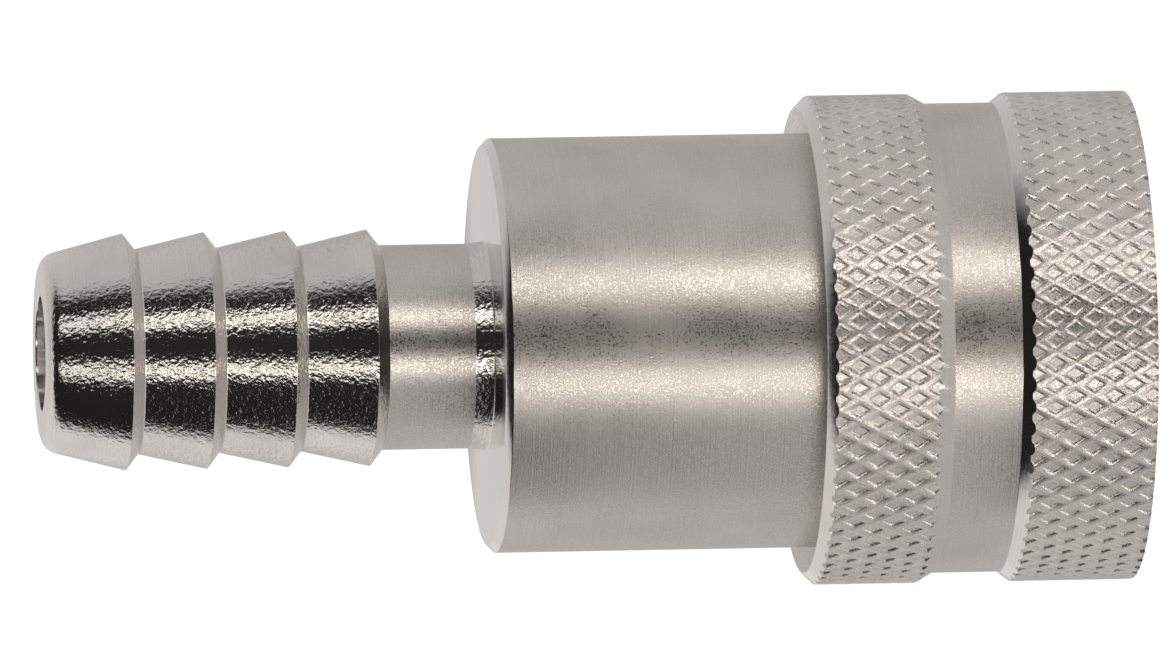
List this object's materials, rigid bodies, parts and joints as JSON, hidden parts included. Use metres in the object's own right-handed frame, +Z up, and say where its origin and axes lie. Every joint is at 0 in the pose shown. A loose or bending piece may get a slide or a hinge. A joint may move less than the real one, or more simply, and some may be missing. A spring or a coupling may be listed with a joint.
{
  "type": "quick-release hose coupling socket",
  "caption": "Quick-release hose coupling socket: barbed hose tail, satin barrel and a knurled pull-back sleeve over ball locks, with a poppet shut-off valve.",
  "frame": {"origin": "on the turning axis, halfway between the hose tail's tip and the sleeve's front face", "axes": "+X along the axis out of the mouth that takes the plug, -X out of the hose tail; +Z up with the coupling lying on its sleeve"},
  "size_m": [0.067, 0.0298, 0.0298],
  "materials": {
    "nickel_plate": "nickel-plated brass: polished barbs, satin-turned barrel and sleeve, diamond knurl on the bands",
    "nitrile_rubber": "black nitrile rubber, matt",
    "white_plastic": "white PTFE, machined",
    "spring_steel": "stainless spring steel, drawn or stamped",
    "ball_steel": "hardened stainless balls, polished",
    "bare_brass": "turned brass, bare"
  },
  "bodies": {
    "socket": {"barrel": "nickel_plate", "joint_o_ring": "nitrile_rubber", "socket_nose": "nickel_plate", "socket_seal": "nitrile_rubber", "seal_backup_ring": "white_plastic", "sleeve_stop_ring": "spring_steel", "valve_guide": "bare_brass", "sleeve_spring": "spring_steel", "poppet_spring": "spring_steel"},
    "sleeve_carrier": {"thrust_washer": "spring_steel"},
    "sleeve": {"sleeve": "nickel_plate"},
    "valve": {"poppet": "bare_brass", "poppet_seal": "nitrile_rubber"},
    "ball_1": {"locking_ball_1": "ball_steel"},
    "ball_2": {"locking_ball_2": "ball_steel"},
    "ball_3": {"locking_ball_3": "ball_steel"},
    "ball_4": {"locking_ball_4": "ball_steel"},
    "ball_5": {"locking_ball_5": "ball_steel"},
    "ball_6": {"locking_ball_6": "ball_steel"},
    "ball_7": {"locking_ball_7": "ball_steel"},
    "ball_8": {"locking_ball_8": "ball_steel"}
  },
  "joints": [
    {"name": "sleeve_slide", "type": "slide", "parent": "socket", "child": "sleeve_carrier", "axis": [1, 0, 0], "range_m": [-0.0035, 0], "stiffness_N_per_m": 2500, "springref_m": 0.004, "deforming": ["sleeve_spring"]},
    {"name": "sleeve_spin", "type": "hinge", "parent": "sleeve_carrier", "child": "sleeve", "pos_m": [0.02355, 0, 0], "axis": [1, 0, 0], "continuous": true},
    {"name": "poppet_slide", "type": "slide", "parent": "socket", "child": "valve", "axis": [1, 0, 0], "range_m": [-0.0045, 0], "stiffness_N_per_m": 1200, "springref_m": 0.004, "deforming": ["poppet_spring"]},
    {"name": "ball_1_slide", "type": "slide", "parent": "socket", "child": "ball_1", "axis": [0, 0.9239, 0.3827], "range_m": [0, 0.00122]},
    {"name": "ball_2_slide", "type": "slide", "parent": "socket", "child": "ball_2", "axis": [0, 0.3827, 0.9239], "range_m": [0, 0.00122]},
    {"name": "ball_3_slide", "type": "slide", "parent": "socket", "child": "ball_3", "axis": [0, -0.3827, 0.9239], "range_m": [0, 0.00122]},
    {"name": "ball_4_slide", "type": "slide", "parent": "socket", "child": "ball_4", "axis": [0, -0.9239, 0.3827], "range_m": [0, 0.00122]},
    {"name": "ball_5_slide", "type": "slide", "parent": "socket", "child": "ball_5", "axis": [0, -0.9239, -0.3827], "range_m": [0, 0.00122]},
    {"name": "ball_6_slide", "type": "slide", "parent": "socket", "child": "ball_6", "axis": [0, -0.3827, -0.9239], "range_m": [0, 0.00122]},
    {"name": "ball_7_slide", "type": "slide", "parent": "socket", "child": "ball_7", "axis": [0, 0.3827, -0.9239], "range_m": [0, 0.00122]},
    {"name": "ball_8_slide", "type": "slide", "parent": "socket", "child": "ball_8", "axis": [0, 0.9239, -0.3827], "range_m": [0, 0.00122]}
  ],
  "couplings": [
    {"joint": "ball_1_slide", "follows": "sleeve_slide", "ratio": -0.34286},
    {"joint": "ball_2_slide", "follows": "sleeve_slide", "ratio": -0.34286},
    {"joint": "ball_3_slide", "follows": "sleeve_slide", "ratio": -0.34286},
    {"joint": "ball_4_slide", "follows": "sleeve_slide", "ratio": -0.34286},
    {"joint": "ball_5_slide", "follows": "sleeve_slide", "ratio": -0.34286},
    {"joint": "ball_6_slide", "follows": "sleeve_slide", "ratio": -0.34286},
    {"joint": "ball_7_slide", "follows": "sleeve_slide", "ratio": -0.34286},
    {"joint": "ball_8_slide", "follows": "sleeve_slide", "ratio": -0.34286}
  ]
}
